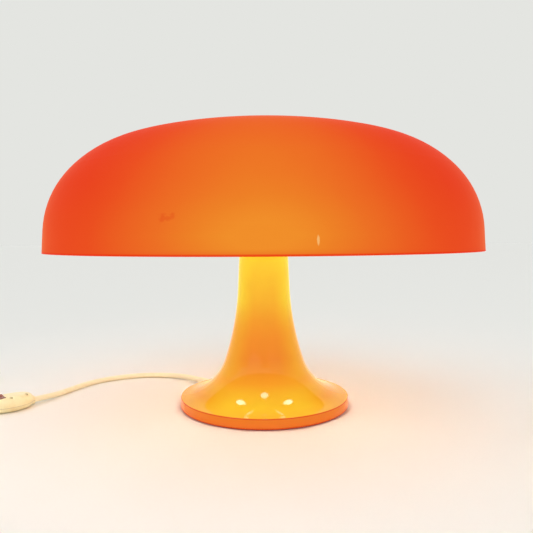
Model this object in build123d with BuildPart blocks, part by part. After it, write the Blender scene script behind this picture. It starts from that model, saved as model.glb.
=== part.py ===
from build123d import *
import math
import os

# A mushroom table lamp, in millimetres. +Z is up, and the origin is the centre of the face that
# the foot's pad rests on. The front is -Y, and the cord leaves the foot at the back left.

# ---------------------------------------------------------------- driving dimensions
lamp_height = 355.0  # table to the top of the dome

# Domed shade: a drafted skirt, then four tangent arcs that close on the axis.
shade_radius = 270.0
shade_wall = 3.0
shade_draft_angle = 3.3
skirt_length = 26.0
shoulder_radius = 112.5
shoulder_angle = 39.0
hip_radius = 138.0
hip_angle = 31.0
crown_radius = 432.0
crown_angle = 15.5
rim_bead_radius = 2.4

# Column and round foot, one moulding.
column_wall = 3.0
neck_radius = 30.5
neck_draft_angle = 2.65
waist_radius = 342.0
foot_radius = 109.3
foot_height = 13.6
foot_slope_angle = 4.6
foot_draft_angle = 2.5
foot_lift = 0.8
foot_edge_round = 1.0
flare_angle = 66.6

# Base plate, pad and ballast.
pad_thickness = 1.2
pad_inner_radius = 94.0
pad_edge_gap = 1.5
plate_thickness = 1.6
plate_gap = 0.4
dish_depth = 8.0
dish_radius = 16.0
dish_slope_width = 6.0
ballast_inner_radius = 25.0
ballast_radius = 60.0
ballast_height = 19.0
ballast_round = 2.0
ballast_screw_ring_radius = 42.0
ballast_screw_count = 3
ballast_screw_length = 9.0
boss_ring_radius = 88.0
boss_radius = 4.6
boss_count = 4
base_screw_length = 9.0
screw_radius = 2.0
screw_head_radius = 3.5
screw_pilot_gap = 0.0
screw_hole_gap = 0.25

# Threaded tie tube that clamps the hub, the column and the base plate together.
tube_radius = 5.0
tube_bore = 3.5
tube_gap = 0.2
tube_stand = 9.0
nut_across_flats = 14.0
nut_height = 6.0
washer_radius = 8.4
washer_thickness = 1.4

# Hub that carries the four lampholders.
hub_width = 62.0
hub_corner = 12.0
hub_wall = 3.0
hub_floor = 4.0
hub_height = 58.0
bulb_drop = 27.0
hub_flange_radius = 34.0
hub_flange_thickness = 3.0
hub_plug_length = 14.0
hub_plug_wall = 3.0
hub_plug_gap = 0.3
hub_post_radius = 4.2
hub_post_inset = 8.0
hub_screw_radius = 1.5
hub_screw_head_radius = 2.9
hub_screw_length = 14.0
wire_slot_radius = 12.2
wire_slot_length = 15.0
wire_slot_width = 4.6
cap_thickness = 3.0
shoulder_step_radius = 21.0
shoulder_step_height = 8.0
spigot_radius = 14.0
spigot_top_gap = 18.0
spigot_wall = 3.0
spigot_chamfer = 2.0
key_width = 3.0
key_height = 1.5

# Collar bonded under the crown of the shade; it drops over the hub's spigot.
collar_gap = 0.3
collar_wall = 3.7
collar_length = 52.0
collar_flange_radius = 36.0
collar_flange_thickness = 3.0
gusset_count = 6
gusset_thickness = 2.5
gusset_height = 22.0

# Lampholders and golf-ball bulbs, four of each, lying level.
bulb_azimuths = {"right": 0, "back": 90, "left": 180, "front": 270}
holder_radius = 13.5
holder_neck_radius = 12.0
holder_neck_length = 9.0
holder_flange_radius = 15.6
holder_flange_thickness = 3.0
holder_reach = 41.0
holder_socket_radius = 7.3
holder_socket_depth = 24.0
holder_chamfer = 1.2
holder_wire_hole = 3.0
port_gap = 0.15
ring_nut_thickness = 2.5
ring_nut_radius = 15.0
contact_head_radius = 4.0
contact_head_thickness = 1.6
contact_pin_length = 4.0
bulb_radius = 22.5
bulb_glass_wall = 0.9
bulb_cap_radius = 7.0
bulb_cap_wall = 0.4
bulb_cap_length = 23.5
bulb_neck_arc = 14.0
bulb_neck_gap = 0.1
bulb_neck_insert = 5.0
insulator_length = 1.6
insulator_tip_radius = 3.2
tip_radius = 2.2
tip_length = 0.7

# Wiring inside the foot and the hub.
wire_radius = 1.3
wire_spacing = 9.0
wire_bend = 3.0
block_wire_room = 9.0
block_depth = 10.0
block_width = 18.0
block_height = 10.0
block_screw_radius = 1.4
block_screw_offset = 3.0
block_screw_depth = 3.0
wire_rise_gap = 3.4
connector_width = 16.0
connector_height = 11.0
lead_drop_radius = 15.0

# Cord, its exit from the foot and its clamp.
cord_radius = 3.75
cord_azimuth = 135.0
cord_exit_height = 6.8
gland_length = 26.0
gland_radius = 4.75
gland_tip_radius = 4.35
gland_flange_radius = 5.9
gland_flange_thickness = 1.5
gland_gap = 0.15
cord_fit_gap = 0.05
stub_wire_length = 3.0
clamp_reach = 6.5
clamp_depth = 6.0
clamp_wall = 1.4
clamp_foot_width = 6.5
clamp_screw_radius = 1.2
clamp_screw_head_radius = 2.2
clamp_screw_head_height = 1.3

# Inline switch, two shells with a rocker, two screws and a cord neck at each end.
switch_x = -326.0
switch_y = -24.0
switch_yaw_angle = 45.0
switch_length = 58.0
switch_width = 37.0
switch_height = 19.0
switch_parting = 7.2
switch_round = 9.4
switch_cavity_inset = 5.0
switch_end_wall = 9.0
switch_floor = 2.5
switch_roof = 5.0
switch_neck_radius = 5.6
switch_neck_length = 1.0
switch_grip = 9.0
switch_screw_places = ((18.0, -8.0), (-3.0, -12.0))
switch_post_radius = 3.5
switch_screw_radius = 1.3
switch_screw_head_radius = 2.2
switch_screw_head_height = 1.4
switch_screw_recess = 2.2
rocker_along = -13.0
rocker_across = -1.0
rocker_length = 14.4
rocker_width = 9.6
rocker_gap = 0.5
rocker_end_gap = 1.0
rocker_drop = 4.2
rocker_stand = 1.6
rocker_hollow = 0.9
rocker_depth = 4.0
rocker_well_gap = 1.0
rocker_tilt_angle = 6.5
rocker_round = 0.5
rocker_pin_radius = 1.2
rocker_pin_gap = 0.05
rocker_pin_bite = 1.6
blade_length = 8.0
blade_thickness = 1.2
blade_height = 4.5
blade_along = 3.0

# Coil of the length that lies put away, its tie and the plug.
coil_lift = 0.8
coil_outer_radius = 50.6
coil_pitch = 8.1
coil_quarters = 10
coil_layer_step = 8.1
lead_drop_start = 19.0
tail_drop_start = 18.0
tail_drop_end = 40.0
tail_length = 58.0
tie_thickness = 0.7
tie_width = 7.0
tie_gap = 0.1
tie_azimuth = 60.0
plug_run = 62.0
plug_offset = 14.0
plug_straight = 26.0
plug_exit_straight = 22.0
plug_length = 33.0
plug_width = 34.0
plug_thickness = 15.0
plug_corner = 6.5
plug_edge_round = 1.6
plug_relief_length = 25.0
plug_relief_radius = 5.6
plug_relief_tip_radius = 4.4
plug_relief_bite = 5.0
pin_radius = 2.0
pin_length = 19.0
pin_spacing = 18.6
pin_bite = 8.0


# ---------------------------------------------------------------- derived sizes
def sin_d(angle):
    return math.sin(math.radians(angle))


def cos_d(angle):
    return math.cos(math.radians(angle))


def tan_d(angle):
    return math.tan(math.radians(angle))


def dome_turns():
    """Slope of the dome from upright, where each of its arcs begins and where the last one ends."""
    slopes = [shade_draft_angle]
    for turn in (shoulder_angle, hip_angle, crown_angle):
        slopes.append(slopes[-1] + turn)
    return slopes


dome_slopes = dome_turns()
dome_arcs = list(zip((shoulder_radius, hip_radius, crown_radius), dome_slopes, dome_slopes[1:]))
cap_start_radius = (
    shade_radius
    - skirt_length * sin_d(shade_draft_angle)
    - sum(r * (cos_d(a) - cos_d(b)) for r, a, b in dome_arcs)
)
cap_radius = cap_start_radius / cos_d(dome_slopes[-1])
dome_rise = (
    skirt_length * cos_d(shade_draft_angle)
    + sum(r * (sin_d(b) - sin_d(a)) for r, a, b in dome_arcs)
    + cap_radius * (1 - sin_d(dome_slopes[-1]))
)
rim_height = lamp_height - dome_rise

# The collar hangs from the crown and sets the heights of the hub, the bulbs and the column.
crown_inside = lamp_height - shade_wall
seat_height = crown_inside - collar_length
spigot_top = crown_inside - collar_flange_thickness - spigot_top_gap
spigot_height = spigot_top - seat_height
cap_top = seat_height - shoulder_step_height
hub_top = cap_top - cap_thickness
bulb_height = hub_top - bulb_drop
hub_bottom = hub_top - hub_height
hub_floor_top = hub_bottom + hub_floor
column_top = hub_bottom - hub_flange_thickness

# The flare's radius is the one that lets the waist run out on the neck's straight line.
flare_start = 180 - foot_slope_angle
flare_end = flare_start - flare_angle
neck_heading = 90 + neck_draft_angle


def right_turn(start, end):
    """Where an arc of radius 1 ends that turns clockwise from one heading to another."""
    return Vector(sin_d(start) - sin_d(end), cos_d(end) - cos_d(start))


neck_normal = Vector(cos_d(neck_draft_angle), sin_d(neck_draft_angle))
foot_to_neck = Vector(foot_radius - neck_radius, foot_height - column_top)
waist_run = right_turn(flare_end, neck_heading) * waist_radius
flare_radius = -(foot_to_neck + waist_run).dot(neck_normal) / right_turn(flare_start, flare_end).dot(
    neck_normal
)
foot_bottom_radius = foot_radius + (foot_height - foot_lift) * tan_d(foot_draft_angle)
foot_inner_radius = foot_radius - column_wall
neck_bore = neck_radius - column_wall / cos_d(neck_draft_angle)

plate_radius = foot_inner_radius - plate_gap
plate_bottom = pad_thickness
plate_top = plate_bottom + plate_thickness
pad_radius = plate_radius - pad_edge_gap
dish_bottom = plate_bottom + dish_depth
dish_top = plate_top + dish_depth
ballast_top = plate_top + ballast_height

hub_half = hub_width / 2
hub_inner_half = hub_half - hub_wall
hub_plug_radius = neck_bore - hub_plug_gap
post_place = hub_half - hub_post_inset
tube_bottom = dish_bottom - washer_thickness - nut_height
tube_top = hub_floor_top + tube_stand
collar_bore = spigot_radius + collar_gap
collar_radius = collar_bore + collar_wall

holder_mouth = hub_half + holder_reach
holder_seat = hub_half
socket_floor = holder_mouth - holder_socket_depth
bulb_tip_place = socket_floor + contact_head_thickness
cap_start = bulb_tip_place + tip_length + insulator_length
cap_end = cap_start + bulb_cap_length
neck_glass_radius = bulb_cap_radius - bulb_cap_wall - bulb_neck_gap
neck_arc_start = cap_end
bulb_centre = neck_arc_start + math.sqrt(
    (bulb_neck_arc + bulb_radius) ** 2 - (neck_glass_radius + bulb_neck_arc) ** 2
)

block_bottom = plate_top
block_place_radius = ballast_radius + block_wire_room + block_depth / 2
stub_inner_radius = block_place_radius + block_depth / 2 + stub_wire_length
clamp_place_radius = stub_inner_radius + clamp_reach
wire_height = block_bottom + block_height / 2
wire_rise = ballast_radius + block_wire_room / 2
wire_over = ballast_top + wire_rise_gap
connector_bottom = tube_top
connector_middle = connector_bottom + connector_height / 2

coil_height = cord_radius + coil_lift
coil_upper_height = coil_height + coil_layer_step
plug_height = plug_thickness / 2
cord_diameter = 2 * cord_radius


# ---------------------------------------------------------------- shared helpers
def upright(azimuth):
    """The upright plane through the axis, with X outward and Y up."""
    return Plane(
        origin=(0, 0, 0),
        x_dir=(cos_d(azimuth), sin_d(azimuth), 0),
        z_dir=(sin_d(azimuth), -cos_d(azimuth), 0),
    )


def facing(azimuth, out, height, across=0.0):
    """A plane square to the outward direction, with X sideways and Y up."""
    return Plane(
        origin=(
            out * cos_d(azimuth) - across * sin_d(azimuth),
            out * sin_d(azimuth) + across * cos_d(azimuth),
            height,
        ),
        x_dir=(-sin_d(azimuth), cos_d(azimuth), 0),
        z_dir=(cos_d(azimuth), sin_d(azimuth), 0),
    )


def polar(azimuth, out, height, across=0.0):
    """A point given by its distance out, its sideways offset and its height."""
    return facing(azimuth, out, height, across).origin


def bulb_axis(azimuth):
    return Axis((0, 0, bulb_height), (cos_d(azimuth), sin_d(azimuth), 0))


def corner_radii(points):
    """For each inner point of a route, 0.45 of its shorter run over the tangent of half its turn."""
    places = [Vector(*p) for p in points]
    radii = []
    for before, here, after in zip(places, places[1:], places[2:]):
        first, second = here - before, after - here
        half_turn = first.get_angle(second) / 2
        radii.append(0.45 * min(first.length, second.length) / tan_d(half_turn))
    return radii


def dome_line(inset):
    """The dome from rim to axis, inset from its outer face, drawn in the line that is open."""
    start = (shade_radius - inset * cos_d(shade_draft_angle), rim_height - inset * sin_d(shade_draft_angle))
    skirt = PolarLine(start, skirt_length, angle=90 + shade_draft_angle)
    shoulder = JernArc(skirt @ 1, skirt % 1, shoulder_radius - inset, shoulder_angle)
    hip = JernArc(shoulder @ 1, shoulder % 1, hip_radius - inset, hip_angle)
    crown = JernArc(hip @ 1, hip % 1, crown_radius - inset, crown_angle)
    TangentArc(crown @ 1, (0, lamp_height - inset), tangent=crown % 1)
    return start


def keep_under_dome():
    """Cut the sketch that is open to the space under the dome's inner face."""
    with BuildLine() as outline:
        rim = dome_line(shade_wall)
        Polyline(rim, (0, rim[1]), (0, crown_inside))
    make_face(outline.edges(), mode=Mode.INTERSECT)


def column_line(inset):
    """The column from the foot's edge to its top, inset from its outer face."""
    start = (foot_radius - inset * sin_d(foot_slope_angle), foot_height - inset * cos_d(foot_slope_angle))
    inward = (-cos_d(foot_slope_angle), sin_d(foot_slope_angle))
    flare = JernArc(start, inward, flare_radius + inset, -flare_angle)
    waist = JernArc(flare @ 1, flare % 1, waist_radius + inset, neck_heading - flare_end)
    foot_of_neck = waist @ 1
    end = (foot_of_neck.X - (column_top - foot_of_neck.Y) * tan_d(neck_draft_angle), column_top)
    Line(foot_of_neck, end)
    return start, end


def column_solid_face():
    """Half of the column and foot as if solid, in the sketch that is open."""
    with BuildLine() as outline:
        start, end = column_line(0)
        Polyline(end, (0, column_top), (0, foot_lift), (foot_bottom_radius, foot_lift), start)
    make_face(outline.edges())


def export(builder, label):
    """Name a finished sub-part and write its file."""
    builder.part.label = label
    export_step(builder.part, f"parts/{label}.step")


os.makedirs("parts", exist_ok=True)

# ---------------------------------------------------------------- shade
with BuildPart() as shade:
    with BuildSketch(Plane.XZ):
        with BuildLine():
            outer_rim = dome_line(0)
            inner_rim = dome_line(shade_wall)
            Line(outer_rim, inner_rim)
            Line((0, lamp_height), (0, crown_inside))
        make_face()
    revolve(axis=Axis.Z)
    # A round bead stiffens the rim on its inner side.
    with BuildSketch(Plane.XZ):
        with Locations((inner_rim[0], inner_rim[1] + rim_bead_radius)):
            Circle(rim_bead_radius)
    revolve(axis=Axis.Z)
export(shade, "shade")

with BuildPart() as shade_collar:
    with BuildSketch(Plane.XZ):
        with Locations((0, crown_inside - collar_flange_thickness)):
            Rectangle(collar_flange_radius, 2 * collar_flange_thickness, align=(Align.MIN, Align.MIN))
        with Locations((collar_bore, seat_height)):
            Rectangle(collar_wall, crown_inside - seat_height, align=(Align.MIN, Align.MIN))
        keep_under_dome()
    revolve(axis=Axis.Z)
    for n in range(gusset_count):
        with BuildSketch(upright((n + 0.5) * 360 / gusset_count)):
            gusset_top = crown_inside - collar_flange_thickness
            with BuildLine():
                Polyline(
                    (collar_radius - collar_wall / 2, gusset_top),
                    (collar_flange_radius - collar_wall, gusset_top),
                    (collar_radius - collar_wall / 2, gusset_top - gusset_height),
                    close=True,
                )
            make_face()
        extrude(amount=gusset_thickness / 2, both=True)
    # Keyway that stops the shade from turning on the spigot.
    with BuildSketch(Plane.XY.offset(seat_height)):
        with Locations((0, spigot_radius)):
            Rectangle(key_width + 2 * collar_gap, 2 * (key_height + collar_gap))
    extrude(amount=spigot_height + collar_gap, mode=Mode.SUBTRACT)
export(shade_collar, "shade_collar")

# ---------------------------------------------------------------- column and foot
with BuildPart() as column:
    with BuildSketch(Plane.XZ):
        column_solid_face()
    revolve(axis=Axis.Z)
    with BuildSketch(Plane.XZ):
        with BuildLine():
            inner_start, inner_end = column_line(column_wall)
            Polyline(inner_end, (0, column_top), (0, foot_lift), (inner_start[0], foot_lift), inner_start)
        make_face()
        Rectangle(
            foot_inner_radius, column_top, align=(Align.MIN, Align.MIN), mode=Mode.INTERSECT
        )
    revolve(axis=Axis.Z, mode=Mode.SUBTRACT)
    # Screw bosses hang from the foot's skin down to the base plate.
    with BuildSketch(Plane.XY.offset(plate_top)):
        with PolarLocations(boss_ring_radius, boss_count):
            Circle(boss_radius)
    extrude(amount=foot_height + column_wall)
    with BuildSketch(Plane.XZ):
        column_solid_face()
    revolve(axis=Axis.Z, mode=Mode.INTERSECT)
    with BuildSketch(Plane.XY.offset(plate_top)):
        with PolarLocations(boss_ring_radius, boss_count):
            Circle(screw_radius + screw_pilot_gap)
    extrude(amount=base_screw_length, mode=Mode.SUBTRACT)
    # Notch in the foot's side for the cord, open downward.
    with BuildSketch(facing(cord_azimuth, foot_inner_radius - column_wall, cord_exit_height)):
        Circle(gland_radius + gland_gap)
        Rectangle(
            2 * (gland_radius + gland_gap), cord_exit_height, align=(Align.CENTER, Align.MAX)
        )
    extrude(amount=3 * column_wall, mode=Mode.SUBTRACT)
    rim_edges = column.edges().filter_by(GeomType.CIRCLE)
    rim_edges = rim_edges.filter_by(lambda e: abs(e.radius - foot_radius) < foot_lift)
    fillet(rim_edges.filter_by(lambda e: e.center().Z < foot_height + 1), foot_edge_round)
export(column, "column")

# ---------------------------------------------------------------- base
with BuildPart() as base_plate:
    with BuildSketch(Plane.XZ):
        with BuildLine():
            slope_end = dish_radius + dish_slope_width
            Polyline(
                (tube_radius + tube_gap, dish_bottom),
                (dish_radius, dish_bottom),
                (slope_end, plate_bottom),
                (plate_radius, plate_bottom),
                (plate_radius, plate_top),
                (slope_end + plate_thickness / 2, plate_top),
                (dish_radius + plate_thickness / 2, dish_top),
                (tube_radius + tube_gap, dish_top),
                close=True,
            )
        make_face()
    revolve(axis=Axis.Z)
    with Locations(Plane(origin=(0, 0, plate_bottom), x_dir=(1, 0, 0), z_dir=(0, 0, -1))):
        with PolarLocations(boss_ring_radius, boss_count):
            CounterSinkHole(screw_radius + screw_hole_gap, screw_head_radius, plate_thickness)
        with PolarLocations(ballast_screw_ring_radius, ballast_screw_count):
            CounterSinkHole(screw_radius + screw_hole_gap, screw_head_radius, plate_thickness)
    # Notch that clears the cord gland.
    with BuildSketch(facing(cord_azimuth, foot_inner_radius - 2 * column_wall, plate_bottom)):
        Rectangle(2 * (gland_flange_radius + gland_gap), 3 * plate_thickness)
    extrude(amount=3 * column_wall, mode=Mode.SUBTRACT)
export(base_plate, "base_plate")

with BuildPart() as base_pad:
    with BuildSketch(Plane.XY):
        Circle(pad_radius)
        Circle(pad_inner_radius, mode=Mode.SUBTRACT)
    extrude(amount=pad_thickness)
    with BuildSketch(facing(cord_azimuth, foot_inner_radius - 2 * column_wall, 0)):
        Rectangle(2 * (gland_flange_radius + gland_gap), 3 * pad_thickness)
    extrude(amount=3 * column_wall, mode=Mode.SUBTRACT)
export(base_pad, "base_pad")

with BuildPart() as ballast:
    with BuildSketch(Plane.XY.offset(plate_top)):
        Circle(ballast_radius)
        Circle(ballast_inner_radius, mode=Mode.SUBTRACT)
    extrude(amount=ballast_height)
    fillet(ballast.edges().filter_by(GeomType.CIRCLE).group_by(Axis.Z)[-1], ballast_round)
    with BuildSketch(Plane.XY.offset(plate_top)):
        with PolarLocations(ballast_screw_ring_radius, ballast_screw_count):
            Circle(screw_radius + screw_pilot_gap)
    extrude(amount=ballast_screw_length, mode=Mode.SUBTRACT)
export(ballast, "ballast")


def countersunk_face(length, shank_radius, head_radius, head_height, top):
    """Half of a countersunk screw that points down from its head's flat top."""
    with BuildLine() as outline:
        Polyline(
            (0, top),
            (head_radius, top),
            (shank_radius, top - head_height),
            (shank_radius, top - length),
            (0, top - length),
            close=True,
        )
    make_face(outline.edges())


def base_screw_group(circle, count, length):
    """Countersunk screws that point up from the underside of the base plate."""
    with BuildPart() as group:
        with BuildSketch(Plane.XZ) as outline:
            with BuildLine():
                head_height = screw_head_radius - screw_radius
                Polyline(
                    (0, plate_bottom),
                    (screw_head_radius - screw_hole_gap, plate_bottom),
                    (screw_radius, plate_bottom + head_height),
                    (screw_radius, plate_top + length),
                    (0, plate_top + length),
                    close=True,
                )
            make_face()
        with PolarLocations(circle, count):
            add(revolve(outline.sketch, axis=Axis.Z, mode=Mode.PRIVATE))
    return group


base_screws = base_screw_group(boss_ring_radius, boss_count, base_screw_length - screw_hole_gap)
export(base_screws, "base_screws")
ballast_screws = base_screw_group(
    ballast_screw_ring_radius, ballast_screw_count, ballast_screw_length - screw_hole_gap
)
export(ballast_screws, "ballast_screws")

# ---------------------------------------------------------------- tie tube, nuts and washers
with BuildPart() as tie_tube:
    with BuildSketch(Plane.XY.offset(tube_bottom)):
        Circle(tube_radius)
        Circle(tube_bore, mode=Mode.SUBTRACT)
    extrude(amount=tube_top - tube_bottom)
export(tie_tube, "tie_tube")

nut_places = {
    "tie_lower_nut": dish_bottom - washer_thickness - nut_height,
    "tie_upper_nut": hub_floor_top + washer_thickness,
}
for label, height in nut_places.items():
    with BuildPart() as nut:
        with BuildSketch(Plane.XY.offset(height)):
            RegularPolygon(nut_across_flats / 2, 6, major_radius=False)
            Circle(tube_radius, mode=Mode.SUBTRACT)
        extrude(amount=nut_height)
        # Bevelled corners, as a turned nut has.
        with BuildSketch(Plane.XY.offset(height)):
            Circle(nut_across_flats / 2 / cos_d(30) - 0.35)
        extrude(amount=nut_height, mode=Mode.INTERSECT)
    export(nut, label)

with BuildPart() as tie_washers:
    for height in (dish_bottom - washer_thickness, hub_floor_top):
        with BuildSketch(Plane.XY.offset(height)):
            Circle(washer_radius)
            Circle(tube_radius + tube_gap / 2, mode=Mode.SUBTRACT)
        extrude(amount=washer_thickness)
export(tie_washers, "tie_washers")

# ---------------------------------------------------------------- hub
with BuildPart() as hub_body:
    with BuildSketch(Plane.XY.offset(hub_bottom)):
        RectangleRounded(hub_width, hub_width, hub_corner)
    extrude(amount=hub_height)
    with BuildSketch(Plane.XY.offset(hub_floor_top)):
        RectangleRounded(2 * hub_inner_half, 2 * hub_inner_half, hub_corner - hub_wall)
    extrude(amount=hub_height - hub_floor, mode=Mode.SUBTRACT)
    with BuildSketch(Plane.XY.offset(hub_floor_top)):
        with GridLocations(2 * post_place, 2 * post_place, 2, 2):
            Circle(hub_post_radius)
    extrude(amount=hub_height - hub_floor)
    with BuildSketch(Plane.XY.offset(column_top)):
        Circle(hub_flange_radius)
    extrude(amount=hub_flange_thickness)
    with BuildSketch(Plane.XY.offset(column_top - hub_plug_length)):
        Circle(hub_plug_radius)
    extrude(amount=hub_plug_length)
    with BuildSketch(Plane.XY.offset(column_top - hub_plug_length)):
        Circle(hub_plug_radius - hub_plug_wall)
    extrude(amount=hub_plug_length, mode=Mode.SUBTRACT)
    # Hole for the tie tube and slot for the wires.
    with BuildSketch(Plane.XY.offset(column_top)):
        Circle(tube_radius + tube_gap)
        slot_place = polar(cord_azimuth, wire_slot_radius, 0)
        with Locations(Location((slot_place.X, slot_place.Y, 0), (0, 0, cord_azimuth + 90))):
            SlotOverall(wire_slot_length, wire_slot_width)
    extrude(amount=hub_floor_top - column_top, mode=Mode.SUBTRACT)
    # Ports for the lampholders and pilot holes for the cap's screws.
    for azimuth in bulb_azimuths.values():
        with BuildSketch(facing(azimuth, hub_inner_half - 1, bulb_height)):
            Circle(holder_neck_radius + port_gap)
        extrude(amount=hub_wall + 2, mode=Mode.SUBTRACT)
    with BuildSketch(Plane.XY.offset(hub_top - hub_screw_length)):
        with GridLocations(2 * post_place, 2 * post_place, 2, 2):
            Circle(hub_screw_radius)
    extrude(amount=hub_screw_length, mode=Mode.SUBTRACT)
export(hub_body, "hub_body")

with BuildPart() as hub_cap:
    with BuildSketch(Plane.XY.offset(hub_top)):
        RectangleRounded(hub_width, hub_width, hub_corner)
    extrude(amount=cap_thickness)
    with BuildSketch(Plane.XY.offset(cap_top)):
        Circle(shoulder_step_radius)
    extrude(amount=shoulder_step_height)
    with BuildSketch(Plane.XY.offset(seat_height)):
        Circle(spigot_radius)
    extrude(amount=spigot_height)
    chamfer(hub_cap.edges().group_by(Axis.Z)[-1], spigot_chamfer)
    with BuildSketch(Plane.XY.offset(seat_height)):
        with Locations((0, spigot_radius)):
            Rectangle(key_width, 2 * key_height)
    extrude(amount=spigot_height - 2 * spigot_chamfer)
    with BuildSketch(Plane.XY.offset(hub_top)):
        Circle(spigot_radius - spigot_wall)
    extrude(amount=spigot_top - spigot_wall - hub_top, mode=Mode.SUBTRACT)
    with Locations((0, 0, cap_top)):
        with GridLocations(2 * post_place, 2 * post_place, 2, 2):
            CounterSinkHole(hub_screw_radius + screw_hole_gap, hub_screw_head_radius, cap_thickness)
export(hub_cap, "hub_cap")

with BuildPart() as hub_screws:
    with BuildSketch(Plane.XZ) as hub_screw_outline:
        countersunk_face(
            cap_thickness + hub_screw_length - screw_hole_gap,
            hub_screw_radius,
            hub_screw_head_radius - screw_hole_gap,
            hub_screw_head_radius - hub_screw_radius,
            cap_top,
        )
    with GridLocations(2 * post_place, 2 * post_place, 2, 2):
        add(revolve(hub_screw_outline.sketch, axis=Axis.Z, mode=Mode.PRIVATE))
export(hub_screws, "hub_screws")

# ---------------------------------------------------------------- lampholders and bulbs
neck_start = holder_seat - holder_neck_length
bulb_centres = {
    "ball": (bulb_centre, bulb_height),
    "neck": (neck_arc_start, bulb_height + neck_glass_radius + bulb_neck_arc),
}
neck_lean = math.degrees(
    math.atan2(neck_glass_radius + bulb_neck_arc, bulb_centre - neck_arc_start)
)


def bulb_line(inset):
    """The glass from the neck's open end to the far pole, inset from its outer face."""
    neck_level = bulb_height + neck_glass_radius - inset
    Line((neck_arc_start - bulb_neck_insert, neck_level), (neck_arc_start, neck_level))
    CenterArc(bulb_centres["neck"], bulb_neck_arc + inset, 270, 90 - neck_lean)
    CenterArc(bulb_centres["ball"], bulb_radius - inset, 0, 180 - neck_lean)


for side, azimuth in bulb_azimuths.items():
    with BuildPart() as lampholder:
        with BuildSketch(upright(azimuth)):
            with BuildLine():
                Polyline(
                    (neck_start, bulb_height + holder_wire_hole),
                    (neck_start, bulb_height + holder_neck_radius),
                    (holder_seat, bulb_height + holder_neck_radius),
                    (holder_seat, bulb_height + holder_flange_radius),
                    (holder_seat + holder_flange_thickness, bulb_height + holder_flange_radius),
                    (holder_seat + holder_flange_thickness, bulb_height + holder_radius),
                    (holder_mouth - holder_chamfer, bulb_height + holder_radius),
                    (holder_mouth, bulb_height + holder_radius - holder_chamfer),
                    (holder_mouth, bulb_height + holder_socket_radius),
                    (socket_floor, bulb_height + holder_socket_radius),
                    (socket_floor, bulb_height + holder_wire_hole),
                    close=True,
                )
            make_face()
        revolve(axis=bulb_axis(azimuth))
    export(lampholder, f"lampholder_{side}")

    with BuildPart() as bulb_cap:
        with BuildSketch(upright(azimuth)):
            with Locations((cap_start, bulb_height + bulb_cap_radius - bulb_cap_wall)):
                Rectangle(bulb_cap_length, bulb_cap_wall, align=(Align.MIN, Align.MIN))
            with Locations((cap_start, bulb_height + insulator_tip_radius)):
                Rectangle(
                    bulb_cap_wall,
                    bulb_cap_radius - insulator_tip_radius,
                    align=(Align.MIN, Align.MIN),
                )
        revolve(axis=bulb_axis(azimuth))
    export(bulb_cap, f"bulb_cap_{side}")

    with BuildPart() as bulb_glass:
        with BuildSketch(upright(azimuth)):
            with BuildLine():
                bulb_line(0)
                bulb_line(bulb_glass_wall)
                open_end = neck_arc_start - bulb_neck_insert
                neck_level = bulb_height + neck_glass_radius
                Line((open_end, neck_level), (open_end, neck_level - bulb_glass_wall))
                pole = bulb_centre + bulb_radius
                Line((pole, bulb_height), (pole - bulb_glass_wall, bulb_height))
            make_face()
        revolve(axis=bulb_axis(azimuth))
    export(bulb_glass, f"bulb_glass_{side}")

with BuildPart() as holder_nuts:
    for azimuth in bulb_azimuths.values():
        with BuildSketch(facing(azimuth, hub_inner_half - ring_nut_thickness, bulb_height)):
            Circle(ring_nut_radius)
            Circle(holder_neck_radius, mode=Mode.SUBTRACT)
        extrude(amount=ring_nut_thickness)
export(holder_nuts, "holder_nuts")

with BuildPart() as holder_contacts:
    for azimuth in bulb_azimuths.values():
        with BuildSketch(facing(azimuth, socket_floor, bulb_height)):
            Circle(contact_head_radius)
        extrude(amount=contact_head_thickness)
        with BuildSketch(facing(azimuth, socket_floor - contact_pin_length, bulb_height)):
            Circle(holder_wire_hole)
        extrude(amount=contact_pin_length)
export(holder_contacts, "holder_contacts")

with BuildPart() as bulb_insulators:
    for azimuth in bulb_azimuths.values():
        with BuildSketch(upright(azimuth)):
            with BuildLine():
                Polyline(
                    (cap_start, bulb_height),
                    (cap_start, bulb_height + bulb_cap_radius - bulb_cap_wall),
                    (cap_start - insulator_length, bulb_height + insulator_tip_radius),
                    (cap_start - insulator_length, bulb_height),
                    close=True,
                )
            make_face()
        revolve(axis=bulb_axis(azimuth))
export(bulb_insulators, "bulb_insulators")

with BuildPart() as bulb_tips:
    for azimuth in bulb_azimuths.values():
        with BuildSketch(facing(azimuth, bulb_tip_place, bulb_height)):
            Circle(tip_radius)
        extrude(amount=tip_length)
export(bulb_tips, "bulb_tips")

# ---------------------------------------------------------------- wiring
harness_offsets = (-wire_spacing / 2, wire_spacing / 2)

with BuildPart() as harness:
    for across in harness_offsets:
        # From the terminal block over the ballast and up the column to the hub's connector.
        block_face = block_place_radius - block_depth / 2
        wire_route = [
            polar(cord_azimuth, block_face, wire_height, across),
            polar(cord_azimuth, wire_rise, wire_height, across),
            polar(cord_azimuth, wire_rise, wire_over, across),
            polar(cord_azimuth, wire_slot_radius, wire_over, across),
            polar(cord_azimuth, wire_slot_radius, connector_middle, across),
            polar(cord_azimuth, connector_width / 2, connector_middle, across),
        ]
        with BuildLine() as wire_line:
            FilletPolyline(*wire_route, radius=wire_bend)
        with BuildSketch(Plane(origin=wire_line.line @ 0, z_dir=wire_line.line % 0)):
            Circle(wire_radius)
        sweep(path=wire_line.line)
        # From the end of the cord to the block's outer face.
        with BuildSketch(facing(cord_azimuth, block_place_radius + block_depth / 2, wire_height, across)):
            Circle(wire_radius)
        extrude(amount=stub_wire_length)
export(harness, "harness")

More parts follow.
